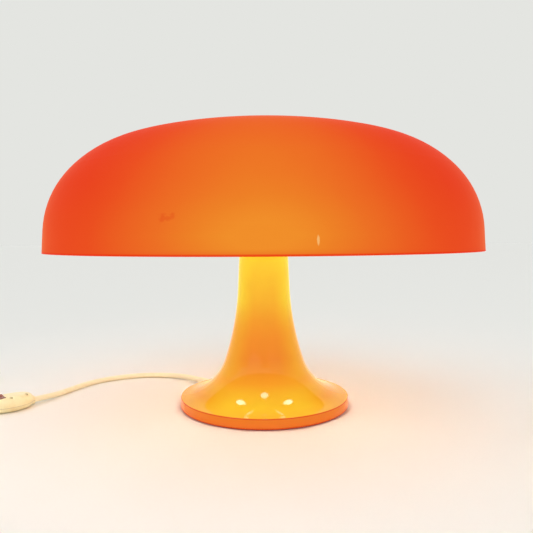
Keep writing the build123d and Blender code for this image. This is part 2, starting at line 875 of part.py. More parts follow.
with BuildPart() as holder_leads:
    for azimuth in bulb_azimuths.values():
        lead_route = [
            polar(azimuth, connector_width / 2, connector_middle),
            polar(azimuth, lead_drop_radius, connector_middle),
            polar(azimuth, lead_drop_radius, bulb_height),
            polar(azimuth, socket_floor - contact_pin_length, bulb_height),
        ]
        with BuildLine() as holder_lead_line:
            FilletPolyline(*lead_route, radius=wire_bend)
        with BuildSketch(Plane(origin=holder_lead_line.line @ 0, z_dir=holder_lead_line.line % 0)):
            Circle(wire_radius)
        sweep(path=holder_lead_line.line)
export(holder_leads, "holder_leads")

with BuildPart() as hub_connector:
    with BuildSketch(Plane.XY.offset(connector_bottom)) as connector_outline:
        Rectangle(connector_width, connector_width, rotation=cord_azimuth)
        Rectangle(connector_width, connector_width, mode=Mode.INTERSECT)
    extrude(amount=connector_height)
export(hub_connector, "hub_connector")

with BuildPart() as terminal_block:
    with BuildSketch(facing(cord_azimuth, block_place_radius - block_depth / 2, block_bottom)):
        Rectangle(block_width, block_height, align=(Align.CENTER, Align.MIN))
    extrude(amount=block_depth)
    for across in harness_offsets:
        for out in (-block_screw_offset, block_screw_offset):
            hole = polar(cord_azimuth, block_place_radius + out, block_bottom + block_height, across)
            with BuildSketch(Plane(origin=hole, z_dir=(0, 0, -1))):
                Circle(block_screw_radius)
            extrude(amount=block_screw_depth, mode=Mode.SUBTRACT)
export(terminal_block, "terminal_block")

with BuildPart() as terminal_screws:
    for across in harness_offsets:
        for out in (-block_screw_offset, block_screw_offset):
            hole = polar(cord_azimuth, block_place_radius + out, block_bottom + block_height, across)
            with BuildSketch(Plane(origin=hole - Vector(0, 0, block_screw_depth))):
                Circle(block_screw_radius)
            extrude(amount=block_screw_depth - block_screw_radius / 2)
export(terminal_screws, "terminal_screws")

# ---------------------------------------------------------------- cord clamp, gland and stub
clamp_screw_across = cord_radius + clamp_wall + clamp_foot_width / 2

with BuildPart() as cord_clamp:
    with BuildSketch(facing(cord_azimuth, clamp_place_radius - clamp_depth / 2, cord_exit_height)):
        Circle(cord_radius + clamp_wall)
        clamp_drop = cord_exit_height - plate_top
        with Locations((0, -clamp_drop)):
            Rectangle(
                2 * (cord_radius + clamp_wall), clamp_drop, align=(Align.CENTER, Align.MIN)
            )
            Rectangle(
                2 * (cord_radius + clamp_wall + clamp_foot_width),
                clamp_wall,
                align=(Align.CENTER, Align.MIN),
            )
        Circle(cord_radius + cord_fit_gap, mode=Mode.SUBTRACT)
        Rectangle(
            2 * (cord_radius + cord_fit_gap),
            clamp_drop + clamp_wall,
            align=(Align.CENTER, Align.MAX),
            mode=Mode.SUBTRACT,
        )
        # Nothing of the clamp reaches under the plate's top.
        with Locations((0, -clamp_drop)):
            Rectangle(
                4 * (cord_radius + clamp_wall + clamp_foot_width),
                2 * (cord_radius + clamp_wall) + clamp_drop,
                align=(Align.CENTER, Align.MIN),
                mode=Mode.INTERSECT,
            )
    extrude(amount=clamp_depth)
    for across in (-clamp_screw_across, clamp_screw_across):
        hole = polar(cord_azimuth, clamp_place_radius, plate_top, across)
        with BuildSketch(Plane(origin=hole)):
            Circle(clamp_screw_radius + cord_fit_gap)
        extrude(amount=clamp_wall, mode=Mode.SUBTRACT)
export(cord_clamp, "cord_clamp")

with BuildPart() as clamp_screws:
    for across in (-clamp_screw_across, clamp_screw_across):
        hole = polar(cord_azimuth, clamp_place_radius, plate_top, across)
        with BuildSketch(Plane(origin=hole)):
            Circle(clamp_screw_radius)
        extrude(amount=clamp_wall)
        with BuildSketch(Plane(origin=hole + Vector(0, 0, clamp_wall))):
            Circle(clamp_screw_head_radius)
        extrude(amount=clamp_screw_head_height)
export(clamp_screws, "clamp_screws")

gland_end = foot_radius + gland_length

with BuildPart() as cord_gland:
    with BuildSketch(upright(cord_azimuth)):
        with BuildLine():
            flange_start = foot_bottom_radius
            flange_end = flange_start + gland_flange_thickness
            bore_level = cord_exit_height + cord_radius + cord_fit_gap
            Polyline(
                (foot_inner_radius, bore_level),
                (foot_inner_radius, cord_exit_height + gland_radius),
                (flange_start, cord_exit_height + gland_radius),
                (flange_start, cord_exit_height + gland_flange_radius),
                (flange_end, cord_exit_height + gland_flange_radius),
                (flange_end, cord_exit_height + gland_radius),
                (gland_end, cord_exit_height + gland_tip_radius),
                (gland_end, bore_level),
                close=True,
            )
        make_face()
    revolve(
        axis=Axis(
            (0, 0, cord_exit_height), (cos_d(cord_azimuth), sin_d(cord_azimuth), 0)
        )
    )
export(cord_gland, "cord_gland")

with BuildPart() as cord_stub:
    with BuildSketch(facing(cord_azimuth, stub_inner_radius, cord_exit_height)):
        Circle(cord_radius)
    extrude(amount=gland_end - stub_inner_radius)
export(cord_stub, "cord_stub")

# ---------------------------------------------------------------- inline switch
switch_plane = Plane(
    origin=(switch_x, switch_y, 0),
    x_dir=(cos_d(switch_yaw_angle), sin_d(switch_yaw_angle), 0),
    z_dir=(0, 0, 1),
)


def switch_at(along, across, height):
    """A point given in the switch's own directions."""
    return switch_plane.from_local_coords(Vector(along, across, height))


def switch_level(height):
    return switch_plane.offset(height)


def switch_across(along, across=0.0, height=0.0):
    """A plane square to the switch's length, with X sideways and Y up."""
    return Plane(
        origin=switch_at(along, across, height),
        x_dir=switch_plane.y_dir,
        z_dir=switch_plane.x_dir,
    )


neck_reach = switch_length / 2 + switch_neck_length

with BuildPart() as switch_form:
    with BuildSketch(switch_level(0)):
        Ellipse(switch_length / 2, switch_width / 2)
    extrude(amount=switch_height)
    fillet(switch_form.edges(), switch_round)
    with BuildSketch(switch_across(-neck_reach, 0, switch_parting)):
        Circle(switch_neck_radius)
    extrude(amount=2 * neck_reach)

with BuildPart() as switch_insides:
    cavity_roof = switch_height - switch_roof
    with BuildSketch(switch_level(switch_floor)):
        Ellipse(
            switch_length / 2 - switch_end_wall,
            switch_width / 2 - switch_cavity_inset,
        )
    extrude(amount=cavity_roof - switch_floor)
    with BuildSketch(switch_level(switch_floor)):
        for along, across in switch_screw_places:
            with Locations((along, across)):
                Circle(switch_post_radius)
    extrude(amount=cavity_roof - switch_floor, mode=Mode.SUBTRACT)
    with BuildSketch(switch_across(-neck_reach, 0, switch_parting)):
        Circle(cord_radius + cord_fit_gap)
    extrude(amount=2 * neck_reach)
    # Well of the rocker.
    with BuildSketch(switch_level(switch_height - rocker_drop - rocker_depth - rocker_well_gap)):
        with Locations((rocker_along, rocker_across)):
            Rectangle(rocker_width + 2 * rocker_gap, rocker_length + 2 * rocker_end_gap)
    extrude(amount=switch_height)
    # Holes of the rocker's pin.
    pin_reach = rocker_width / 2 + rocker_gap + rocker_pin_bite
    pin_level = switch_height - rocker_drop
    with BuildSketch(switch_across(rocker_along - pin_reach, rocker_across, pin_level)):
        Circle(rocker_pin_radius)
    extrude(amount=2 * pin_reach)

with BuildPart() as switch_screw_cuts:
    for along, across in switch_screw_places:
        with BuildSketch(switch_level(switch_floor)):
            with Locations((along, across)):
                Circle(switch_screw_radius)
        extrude(amount=switch_height)
        with BuildSketch(switch_level(switch_height - switch_screw_recess - switch_round / 4)):
            with Locations((along, across)):
                Circle(switch_screw_head_radius)
        extrude(amount=switch_round)

for label, low, high in (
    ("switch_lower", 0, switch_parting),
    ("switch_upper", switch_parting, switch_height),
):
    with BuildPart() as shell:
        with BuildSketch(switch_level(low)):
            Rectangle(2 * switch_length, 2 * switch_width)
        extrude(amount=high - low)
        add(switch_form.part, mode=Mode.INTERSECT)
        add(switch_insides.part, mode=Mode.SUBTRACT)
        add(switch_screw_cuts.part, mode=Mode.SUBTRACT)
    export(shell, label)

with BuildPart() as switch_screws:
    screw_seat = switch_height - switch_screw_recess - switch_round / 4
    for along, across in switch_screw_places:
        with BuildSketch(switch_level(switch_floor)):
            with Locations((along, across)):
                Circle(switch_screw_radius)
        extrude(amount=screw_seat - switch_floor)
        with BuildSketch(switch_level(screw_seat)):
            with Locations((along, across)):
                Circle(switch_screw_head_radius - cord_fit_gap)
        extrude(amount=switch_screw_head_height)
export(switch_screws, "switch_screws")

with BuildPart() as switch_rocker:
    # Drawn level about its pin, then leaned to the side that is pressed in.
    lean = Plane(
        origin=switch_at(rocker_along - rocker_width / 2, rocker_across, pin_level),
        x_dir=switch_plane.y_dir * cos_d(rocker_tilt_angle) + Vector(0, 0, sin_d(rocker_tilt_angle)),
        z_dir=switch_plane.x_dir,
    )
    with BuildSketch(lean):
        with BuildLine():
            rocker_top = rocker_drop + rocker_stand
            half = rocker_length / 2
            Polyline(
                (half, rocker_top),
                (half, 0),
                (half / 2, -rocker_depth),
                (-half / 2, -rocker_depth),
                (-half, 0),
                (-half, rocker_top),
            )
            ThreePointArc((-half, rocker_top), (0, rocker_top - rocker_hollow), (half, rocker_top))
        make_face()
        Circle(rocker_pin_radius + rocker_pin_gap, mode=Mode.SUBTRACT)
    extrude(amount=rocker_width)
    fillet(switch_rocker.edges().group_by(Axis.Z)[-1], rocker_round)
export(switch_rocker, "switch_rocker")

with BuildPart() as rocker_pin:
    with BuildSketch(switch_across(rocker_along - pin_reach, rocker_across, pin_level)):
        Circle(rocker_pin_radius)
    extrude(amount=2 * pin_reach)
export(rocker_pin, "rocker_pin")

with BuildPart() as switch_contacts:
    for across in (-blade_length, blade_length):
        with BuildSketch(switch_level(switch_floor)):
            with Locations((blade_along, across / 2)):
                Rectangle(blade_length, blade_thickness)
        extrude(amount=blade_height)
export(switch_contacts, "switch_contacts")

# ---------------------------------------------------------------- free stretches of the cord
lead_points = [
    (*tuple(polar(cord_azimuth, gland_end, 0))[:2], cord_exit_height),
    (*tuple(polar(cord_azimuth, gland_end + 26, 0))[:2], cord_exit_height),
    (-145.0, 139.0, cord_radius),
    (-190.0, 142.0, cord_radius),
    (-233.0, 124.0, cord_radius),
    (-264.0, 92.0, cord_radius),
    (-284.0, 40.0, cord_radius),
    tuple(switch_at(neck_reach + lead_drop_start, 0, switch_parting)),
    tuple(switch_at(neck_reach - switch_grip, 0, switch_parting)),
]
tail_points = [
    tuple(switch_at(-(neck_reach - switch_grip), 0, switch_parting)),
    tuple(switch_at(-(neck_reach + tail_drop_start), 0, switch_parting)),
    tuple(switch_at(-(neck_reach + tail_drop_end), 0, coil_height)),
    tuple(switch_at(-(neck_reach + tail_length), 0, coil_height)),
]

with BuildPart() as cord_lead:
    with BuildLine() as lead_line:
        FilletPolyline(*lead_points, radius=corner_radii(lead_points))
    with BuildSketch(Plane(origin=lead_line.line @ 0, z_dir=lead_line.line % 0)):
        Circle(cord_radius)
    sweep(path=lead_line.line)
export(cord_lead, "cord_lead")

with BuildPart() as cord_tail:
    with BuildLine() as tail_line:
        FilletPolyline(*tail_points, radius=corner_radii(tail_points))
    with BuildSketch(Plane(origin=tail_line.line @ 0, z_dir=tail_line.line % 0)):
        Circle(cord_radius)
    sweep(path=tail_line.line)
export(cord_tail, "cord_tail")

# ---------------------------------------------------------------- put-away coil
# The cord comes in straight, winds inward on the table, climbs at the middle and winds out again.
coil_start = switch_at(-(neck_reach + tail_length), 0, coil_height)
coil_join = switch_at(-(neck_reach + tail_length + cord_diameter), 0, coil_height)
first_azimuth = switch_yaw_angle - 90
quarter_step = coil_pitch / 4


def about(centre, radius, azimuth):
    return centre + Vector(radius * cos_d(azimuth), radius * sin_d(azimuth), 0)


def heading(azimuth):
    """Direction of clockwise travel at an azimuth."""
    return Vector(sin_d(azimuth), -cos_d(azimuth), 0)


with BuildPart() as cord_coil:
    with BuildLine() as coil_line:
        Line(coil_start, coil_join)
        here, azimuth, radius = coil_join, first_azimuth, coil_outer_radius
        coil_centre = about(coil_join, -radius, azimuth)
        for n in range(coil_quarters):
            middle = about(here, -radius, azimuth)
            there = about(middle, radius, azimuth - 90)
            TangentArc(here, there, tangent=heading(azimuth))
            here, azimuth, radius = there, azimuth - 90, radius - quarter_step
        # Half a turn of two tilted quarters, up onto the second layer.
        middle = about(here, -radius, azimuth)
        across = about(middle, radius, azimuth - 180) + Vector(0, 0, coil_layer_step)
        bulge = math.sqrt(radius**2 + coil_layer_step**2 / 4)
        halfway = (here + across) / 2 + heading(azimuth) * bulge
        TangentArc(here, halfway, tangent=heading(azimuth))
        TangentArc(halfway, across, tangent=(across - here).normalized())
        here, azimuth, radius = across, azimuth - 180, radius + quarter_step
        for n in range(coil_quarters):
            middle = about(here, -radius, azimuth)
            there = about(middle, radius, azimuth - 90)
            TangentArc(here, there, tangent=heading(azimuth))
            here, azimuth, radius = there, azimuth - 90, radius + quarter_step
        coil_exit = here + heading(azimuth) * cord_diameter
        Line(here, coil_exit)
        exit_heading = heading(azimuth)
    with BuildSketch(Plane(origin=coil_line.line @ 0, z_dir=coil_line.line % 0)):
        Circle(cord_radius)
    sweep(path=coil_line.line)
export(cord_coil, "cord_coil")

coil_inner_radius = coil_outer_radius - coil_quarters * quarter_step - quarter_step
tie_low = coil_lift - tie_gap - tie_thickness
tie_high = coil_upper_height + cord_radius + tie_gap + tie_thickness
tie_inner = coil_inner_radius - cord_radius - 2 * quarter_step
tie_outer = coil_outer_radius + cord_radius + tie_gap

with BuildPart() as coil_tie:
    tie_plane = Plane(
        origin=about(coil_centre, (tie_inner + tie_outer) / 2, tie_azimuth),
        x_dir=(cos_d(tie_azimuth), sin_d(tie_azimuth), 0),
        z_dir=(sin_d(tie_azimuth), -cos_d(tie_azimuth), 0),
    )
    with BuildSketch(tie_plane.offset(-tie_width / 2)):
        tie_middle = (tie_low + tie_high) / 2 - coil_height
        with Locations((0, tie_middle)):
            RectangleRounded(
                tie_outer - tie_inner + 2 * tie_thickness, tie_high - tie_low, cord_radius
            )
            RectangleRounded(
                tie_outer - tie_inner,
                tie_high - tie_low - 2 * tie_thickness,
                cord_radius - tie_thickness,
                mode=Mode.SUBTRACT,
            )
    extrude(amount=tie_width)
export(coil_tie, "coil_tie")

# ---------------------------------------------------------------- last stretch and plug
plug_relief_start = (
    coil_exit
    + exit_heading * plug_straight
    + Vector(plug_offset, plug_run, plug_height - coil_upper_height)
)
end_points = [
    tuple(coil_exit),
    tuple(coil_exit + exit_heading * plug_exit_straight),
    tuple(plug_relief_start - Vector(0, plug_straight, 0)),
    tuple(plug_relief_start + Vector(0, plug_relief_bite, 0)),
]

with BuildPart() as cord_end:
    with BuildLine() as end_line:
        FilletPolyline(*end_points, radius=corner_radii(end_points))
    with BuildSketch(Plane(origin=end_line.line @ 0, z_dir=end_line.line % 0)):
        Circle(cord_radius)
    sweep(path=end_line.line)
export(cord_end, "cord_end")


def plug_section(along):
    """A plane square to the plug, at a distance from the open end of its relief."""
    return Plane(
        origin=plug_relief_start + Vector(0, along, 0), x_dir=(1, 0, 0), z_dir=(0, 1, 0)
    )


with BuildPart() as plug_body:
    with BuildSketch(plug_section(plug_relief_length)):
        RectangleRounded(plug_width, plug_thickness, plug_corner)
    extrude(amount=plug_length)
    fillet(plug_body.edges().group_by(Axis.Y)[0], plug_edge_round)
    fillet(plug_body.edges().group_by(Axis.Y)[-1], plug_edge_round)
    with BuildSketch(plug_section(plug_relief_length + plug_length - pin_bite)):
        with GridLocations(pin_spacing, 1, 2, 1):
            Circle(pin_radius)
    extrude(amount=pin_bite, mode=Mode.SUBTRACT)
export(plug_body, "plug_body")

with BuildPart() as plug_relief:
    with BuildSketch(plug_section(0)):
        Circle(plug_relief_tip_radius)
    with BuildSketch(plug_section(plug_relief_length)):
        Circle(plug_relief_radius)
    loft()
    with BuildSketch(plug_section(0)):
        Circle(cord_radius + cord_fit_gap)
    extrude(amount=plug_relief_bite + cord_fit_gap, mode=Mode.SUBTRACT)
export(plug_relief, "plug_relief")

with BuildPart() as plug_pins:
    with BuildSketch(plug_section(plug_relief_length + plug_length - pin_bite)):
        with GridLocations(pin_spacing, 1, 2, 1):
            Circle(pin_radius)
    extrude(amount=pin_bite + pin_length)
    fillet(plug_pins.edges().group_by(Axis.Y)[-1], pin_radius / 2)
export(plug_pins, "plug_pins")


# ---------------------------------------------------------------- what the cord measures
def run_length(line):
    return sum(edge.length for edge in line.edges())


def coil_gap(line, steps=1200):
    """The least space between the coil's turns, measured on points along it."""
    places = [line @ (n / steps) for n in range(steps + 1)]
    spacing = run_length(line) / steps
    skip = math.ceil(3 * cord_diameter / spacing)
    least = min(
        (places[i] - places[j]).length
        for i in range(0, steps + 1, 2)
        for j in range(i + skip, steps + 1, 2)
    )
    return least - cord_diameter


section = math.pi * cord_radius**2
for label, builder, line in (
    ("cord_lead", cord_lead, lead_line.line),
    ("cord_tail", cord_tail, tail_line.line),
    ("cord_coil", cord_coil, coil_line.line),
    ("cord_end", cord_end, end_line.line),
):
    ratio = builder.part.volume / (section * run_length(line))
    print(f"{label}: length {run_length(line):.1f} mm, volume over section times length {ratio:.4f}")
for label, points in (("lead", lead_points), ("tail", tail_points), ("end", end_points)):
    print(f"{label} radii:", " ".join(f"{r:.1f}" for r in corner_radii(points)))
print(f"least gap of the coil to itself: {coil_gap(coil_line.line):.2f} mm")
print(f"rim height {rim_height:.2f}, flare radius {flare_radius:.2f}, bulb centre {bulb_centre:.2f}")
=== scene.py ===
import math

import bmesh
import bpy
from bpy.props import FloatProperty, FloatVectorProperty, PointerProperty
from mathutils import Matrix, Vector


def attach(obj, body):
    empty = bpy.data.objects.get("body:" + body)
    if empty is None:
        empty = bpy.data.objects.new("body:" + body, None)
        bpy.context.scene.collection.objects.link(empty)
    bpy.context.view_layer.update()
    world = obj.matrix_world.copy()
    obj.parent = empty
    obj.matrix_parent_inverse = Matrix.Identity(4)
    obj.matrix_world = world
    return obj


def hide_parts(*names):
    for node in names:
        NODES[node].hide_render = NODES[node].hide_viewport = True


bl_info = {
    "name": "Mushroom Table Lamp",
    "version": (1, 0, 0),
    "blender": (4, 5, 0),
    "location": "View3D > Sidebar > Lamp",
    "description": "Finishes, cord and studio for a lit mushroom table lamp",
    "category": "Add Mesh",
}

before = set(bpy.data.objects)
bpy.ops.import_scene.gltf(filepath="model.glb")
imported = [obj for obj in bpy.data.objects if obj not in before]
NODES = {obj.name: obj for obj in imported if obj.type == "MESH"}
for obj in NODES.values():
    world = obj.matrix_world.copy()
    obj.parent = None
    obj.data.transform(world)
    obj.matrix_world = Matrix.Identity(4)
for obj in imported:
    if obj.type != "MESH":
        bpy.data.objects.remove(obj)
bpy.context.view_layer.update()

# Every length is in metres, in the frame of the solids.

# The cord's route, through the same points that the solids follow.
LEAD_ROUTE = (
    (-0.0957, 0.0957, 0.0068),
    (-0.1141, 0.1141, 0.0068),
    (-0.1450, 0.1390, 0.00375),
    (-0.1900, 0.1420, 0.00375),
    (-0.2330, 0.1240, 0.00375),
    (-0.2640, 0.0920, 0.00375),
    (-0.2840, 0.0400, 0.00375),
    (-0.29135, 0.01065, 0.0072),
    (-0.31115, -0.00915, 0.0072),
)
TAIL_ROUTE = (
    (-0.34085, -0.03885, 0.0072),
    (-0.35994, -0.05794, 0.0072),
    (-0.37550, -0.07350, 0.00455),
    (-0.38823, -0.08623, 0.00455),
)
PLUG_ROUTE = (
    (-0.46265, -0.01180, 0.01265),
    (-0.44709, 0.00375, 0.01265),
    (-0.43026, 0.04258, 0.0075),
    (-0.43026, 0.07358, 0.0075),
)

# The put-away coil: a layer on the table, half a turn that climbs, and a layer on top.
LOWER_CENTRE = Vector((-0.43074, -0.05575, 0.00455))
CLIMB_CENTRE = Vector((-0.43217, -0.05575, 0.00455))
UPPER_CENTRE = Vector((-0.43217, -0.05432, 0.01265))
COIL_START = math.radians(-45)
COIL_OUTER = 0.0516
COIL_PITCH = 0.0081
CLIMB_RADIUS = 0.03035
POINTS_TO_A_TURN = 16
POINTS_TO_A_LAYER = 40

# How finely the cord's line and its round section are cut.
CORD_ALONG = 6
CORD_AROUND = 4

# Faces that meet at a sharper angle than this, in degrees, keep a crisp edge.
CREASE_ANGLE = 32.0

# The dome: where its colours start and how far up they spread, the height that its inner
# face looks to and how flat it is, and the rim with the fade of its red edge of painted light.
DOME_BASE = 0.2
DOME_SPAN = 0.16
DOME_MIDDLE = 0.21
DOME_FLATNESS = 1.6
RIM_HEIGHT = 0.20173
RIM_EDGE = (0.0026, 0.0010)

# How narrow the light before each bulb is, how bright it is before the side bulbs beside
# the front ones, and how bright the crown is.
LOBE_POWER = 9.0
SIDE_BULBS = 0.82
CROWN_LIGHT = 0.72

# Two small marks on the dome's front, which is past the limit: where they lie across and
# up, half their size, how ragged they are and how strongly they show.
FRONT_LIMIT = -0.2
NICK_PLACE = (0.0455, 0.2150)
NICK_HALF = (0.0012, 0.0046)
NICK_RAGGED = 0.0012
NICK_STRENGTH = 0.8
SMUDGE_PLACE = (-0.0830, 0.2355)
SMUDGE_HALF = (0.0085, 0.0032)
SMUDGE_RAGGED = (0.030, 0.012)
SMUDGE_STRENGTH = 0.40

# The column and its foot: the heights that their colours spread over, where the column's
# colours take over, the foot's upper edge, and how the painted shade on its top's sides fades up
# and in.
COLUMN_SPAN = 0.24
FOOT_SPAN = 0.02
FOOT_END = 0.0199
FOOT_EDGE = (0.0134, 0.0140)
FLANK_FADE = (0.040, 0.016)
RING_FADE = (0.098, 0.085)
SCUFFS_TO_A_METRE = 220.0

# Where the ball of a bulb starts and where it is brightest, from the lamp's axis.
BALL_FADE = (0.074, 0.096)

# The height at which the switch's shells meet.
SWITCH_PARTING = 0.0072

BULB_SIDES = ("front", "left", "back", "right")

# The studio: table, light all round, a broad light above, a weak one at the front right,
# and what a user wouldn't change in the camera.
TABLE_HALF = 30.0
STUDIO_TINT = (0.96, 0.98, 1.0)
STUDIO_STRENGTH = 0.42
KEY_PLACE = (-0.5, -0.6, 2.0)
KEY_AIM = (0.0, 0.0, 0.0)
KEY_TINT = (0.97, 0.985, 1.0)
KEY_STRENGTH = 1.55
KEY_SPREAD = math.radians(100)
FILL_PLACE = (1.5, -2.2, 2.2)
FILL_AIM = (0.0, 0.0, 0.15)
FILL_TINT = (1.0, 0.98, 0.95)
FILL_POWER = 7.0
FILL_SIZE = 2.4
SENSOR_WIDTH = 36.0  # in millimetres
CAMERA_SHIFT = 0.00527
CAMERA_NEAR = 0.01


# ---------------------------------------------------------------- colours
def linear(*shown):
    """The light that a colour stands for, given as it shows on a screen, 0 to 255."""
    values = []
    for level in shown:
        c = level / 255
        values.append(c / 12.92 if c <= 0.04045 else ((c + 0.055) / 1.055) ** 2.4)
    return tuple(values)


def scaled(colour, *shares):
    """A colour with each channel brought to its share, and none past full."""
    return tuple(min(1.0, channel * share) for channel, share in zip(colour, shares))


def grey(level):
    """One value for all three channels."""
    return (level,) * 3


def levels(*stops):
    """Stops of a ramp that carries plain values."""
    return tuple((place, grey(level)) for place, level in stops)


def tones(*stops):
    """Stops of a ramp whose colours are given as they show on a screen."""
    return tuple((place, linear(*shown)) for place, shown in stops)


# The backdrop is as bright as the far table, so that no line shows where they meet.
BACKDROP = linear(228, 229, 225)
BRASS = linear(206, 172, 98)

# Accents on the lit plastic: marks and tones, and painted light and shade on the shade's rim,
# the foot's top and the column's sides.
RIM_GLOW_RED = linear(240, 58, 22)
NICK_CREAM = linear(253, 196, 120)
SMUDGE_RED = linear(228, 70, 26)
FLANK_SHADE_OUTER = linear(238, 161, 36)
FLANK_SHADE_INNER = linear(237, 146, 28)
NECK_LIGHT_YELLOW = linear(247, 220, 52)
FLARE_LIGHT_YELLOW = linear(243, 177, 36)
MOTTLE_ORANGE = linear(243, 130, 36)

# How much of its colour the lit plastic shows by the studio's light, and how much by its own.
SHADE_BY_STUDIO, SHADE_BY_ITSELF = grey(0.12), grey(0.86)
INSIDE_BY_STUDIO, INSIDE_BY_ITSELF = grey(0.30), grey(0.54)
COLUMN_BY_STUDIO, COLUMN_BY_ITSELF = (0.20, 0.18, 0.12), (0.80, 0.78, 0.70)


# ---------------------------------------------------------------- what a user would change
class LampSizes(bpy.types.PropertyGroup):
    """The camera, the cord's thickness, and how strongly the lit pieces shine."""

    camera_distance: FloatProperty(
        name="Camera Distance",
        description="From the lamp's axis to the camera",
        default=0.72632,
        min=0.2,
        unit="LENGTH",
    )
    camera_height: FloatProperty(
        name="Camera Height",
        description="From the table top to the camera",
        default=0.21525,
        unit="LENGTH",
    )
    camera_tilt: FloatProperty(
        name="Camera Tilt",
        description="How far the camera looks down",
        default=math.radians(2.71),
        subtype="ANGLE",
    )
    camera_roll: FloatProperty(
        name="Camera Roll",
        description="How far the picture leans",
        default=math.radians(0.35),
        subtype="ANGLE",
    )
    lens: FloatProperty(
        name="Lens",
        description="Focal length on a 36 mm sensor",
        default=37.482,
        unit="CAMERA",
    )
    cord_radius: FloatProperty(
        name="Cord Radius",
        description="Radius of the cord's sheath",
        default=0.00375,
        unit="LENGTH",
    )
    glow: FloatProperty(
        name="Plastic Glow",
        description="How strongly the lit plastic shines",
        default=1.0,
        min=0.0,
    )
    bulb_glow: FloatProperty(
        name="Bulb Glow",
        description="How strongly the bulbs shine",
        default=25.0,
        min=0.0,
    )


class LampColours(bpy.types.PropertyGroup):
    """Colours of the finishes, as light."""

    cord: FloatVectorProperty(
        name="Cord",
        description="Cream sheath of the cord",
        default=linear(255, 246, 210),
        subtype="COLOR",
        min=0.0,
        max=1.0,
    )
    switch: FloatVectorProperty(
        name="Switch",
        description="Moulded shells of the switch and the plug",
        default=linear(255, 243, 194),
        subtype="COLOR",
        min=0.0,
        max=1.0,
    )
    rocker: FloatVectorProperty(
        name="Rocker",
        description="Rocker of the switch",
        default=linear(142, 62, 30),
        subtype="COLOR",
        min=0.0,
        max=1.0,
    )
    fittings: FloatVectorProperty(
        name="Fittings",
        description="Hub, lampholders and terminal block",
        default=linear(96, 86, 78),
        subtype="COLOR",
        min=0.0,
        max=1.0,
    )
    bulb: FloatVectorProperty(
        name="Bulb Light",
        description="Light of the bulbs",
        default=(1.0, 1.0, 0.93),
        subtype="COLOR",
        min=0.0,
        max=1.0,
    )
    table: FloatVectorProperty(
        name="Table",
        description="Table top that the lamp stands on",
        default=linear(246, 245, 239),
        subtype="COLOR",
        min=0.0,
        max=1.0,
    )


# ---------------------------------------------------------------- shader maths
class Flow:
    """A value on its way through a tree of nodes. Python's operators on it add the nodes."""

    def __init__(self, tree, socket):
        self.tree = tree
        self.socket = socket

    def _maths(self, operation, *values):
        return self.tree.node("ShaderNodeMath", {"operation": operation}, *values)

    def __add__(self, other):
        return self._maths("ADD", self, other)

    def __radd__(self, other):
        return self._maths("ADD", other, self)

    def __sub__(self, other):
        return self._maths("SUBTRACT", self, other)

    def __rsub__(self, other):
        return self._maths("SUBTRACT", other, self)

    def __mul__(self, other):
        return self._maths("MULTIPLY", self, other)

    def __rmul__(self, other):
        return self._maths("MULTIPLY", other, self)

    def __truediv__(self, other):
        return self._maths("DIVIDE", self, other)

    def __rtruediv__(self, other):
        return self._maths("DIVIDE", other, self)

    def __pow__(self, other):
        return self._maths("POWER", self, other)

    def __abs__(self):
        return self._maths("ABSOLUTE", self)

    def above(self, level):
        """1 where the value is above the level, and 0 elsewhere."""
        return self._maths("GREATER_THAN", self, level)

    def larger(self, other):
        return self._maths("MAXIMUM", self, other)

    def span(self, start, end, low=0.0, high=1.0):
        """The value carried from start..end to low..high, eased and held at both ends."""
        eased = {"interpolation_type": "SMOOTHSTEP"}
        return self.tree.node("ShaderNodeMapRange", eased, self, start, end, low, high)


class Tree:
    """The nodes of a material or of the world, and the node that they all lead to."""

    def __init__(self, tree, goal):
        self.tree = tree
        self.goal = tree.nodes[goal]

    def node(self, kind, settings, *values, out=0, **named):
        """Add a node, with its settings first and then its inputs by place or by name.

        An input that gets None keeps its own value.
        """
        made = self.tree.nodes.new(kind)
        stops = settings.pop("stops", None)
        for key, value in settings.items():
            setattr(made, key, value)
        if stops:
            ramp = made.color_ramp
            while len(ramp.elements) < len(stops):
                ramp.elements.new(0.5)
            for element, (place, colour) in zip(ramp.elements, stops):
                element.position = place
                element.color = (*colour, 1.0)
        for key, value in [*enumerate(values), *named.items()]:
            socket = made.inputs[key]
            if isinstance(value, Flow):
                self.tree.links.new(value.socket, socket)
            elif value is not None:
                socket.default_value = value
        return Flow(self, made.outputs[out])

    def outputs(self, kind, names, *values):
        """Add a node and give several of its outputs."""
        sockets = self.node(kind, {}, *values).socket.node.outputs
        return [Flow(self, sockets[name]) for name in names]

    def feed(self, **flows):
        """Lead values to the inputs of the last node."""
        for name, flow in flows.items():
            self.tree.links.new(flow.socket, self.goal.inputs[name.replace("_", " ")])


